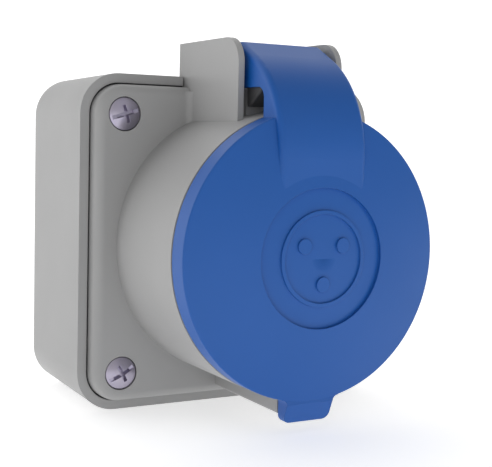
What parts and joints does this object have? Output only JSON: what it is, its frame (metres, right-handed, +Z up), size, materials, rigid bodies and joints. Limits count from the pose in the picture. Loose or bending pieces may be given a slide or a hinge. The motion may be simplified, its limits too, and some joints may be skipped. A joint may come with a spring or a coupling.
{
  "type": "industrial wall socket",
  "caption": "Surface wall box with a round pin-and-sleeve socket barrel, a bottom keyway, and a sprung hinged blue lid with a thumb tab.",
  "frame": {"origin": "centre of the box's flat back face, on the wall", "axes": "+X to the right seen from the front, +Y into the wall, +Z up; the socket faces -Y"},
  "size_m": [0.08, 0.078, 0.088],
  "materials": {
    "grey_plastic": "fine moulded satin",
    "blue_plastic": "fine moulded satin",
    "carrier_plastic": "moulded matt",
    "dark_plastic": "moulded matt",
    "black_rubber": "moulded matt",
    "grey_rubber": "moulded matt",
    "zinc_steel": "zinc plated",
    "pin_steel": "ground",
    "spring_steel": "drawn wire and strip",
    "brass": "turned"
  },
  "bodies": {
    "housing": {"back_box": "grey_plastic", "front_housing": "grey_plastic", "flange_seal": "black_rubber", "cover_screws": "zinc_steel", "top_entry_grommet": "grey_rubber", "bottom_entry_plug": "grey_plastic", "contact_carrier": "carrier_plastic", "terminal_block": "carrier_plastic", "carrier_cap": "carrier_plastic", "block_screws": "zinc_steel", "cap_screw": "zinc_steel", "line_contact": "brass", "neutral_contact": "brass", "earth_contact": "brass", "line_contact_spring": "spring_steel", "neutral_contact_spring": "spring_steel", "earth_contact_spring": "spring_steel", "terminal_screws": "zinc_steel", "hinge_pin": "pin_steel", "lid_spring": "spring_steel"},
    "lid": {"lid": "blue_plastic", "lid_seal": "black_rubber", "plug_catch": "dark_plastic"}
  },
  "joints": [
    {"name": "lid_hinge", "type": "hinge", "parent": "housing", "child": "lid", "pos_m": [0, -0.058, 0.042], "axis": [-1, 0, 0], "range_deg": [0, 110], "stiffness_Nm_per_rad": 0.02, "springref_deg": -57.3, "deforming": ["lid_spring"]}
  ]
}
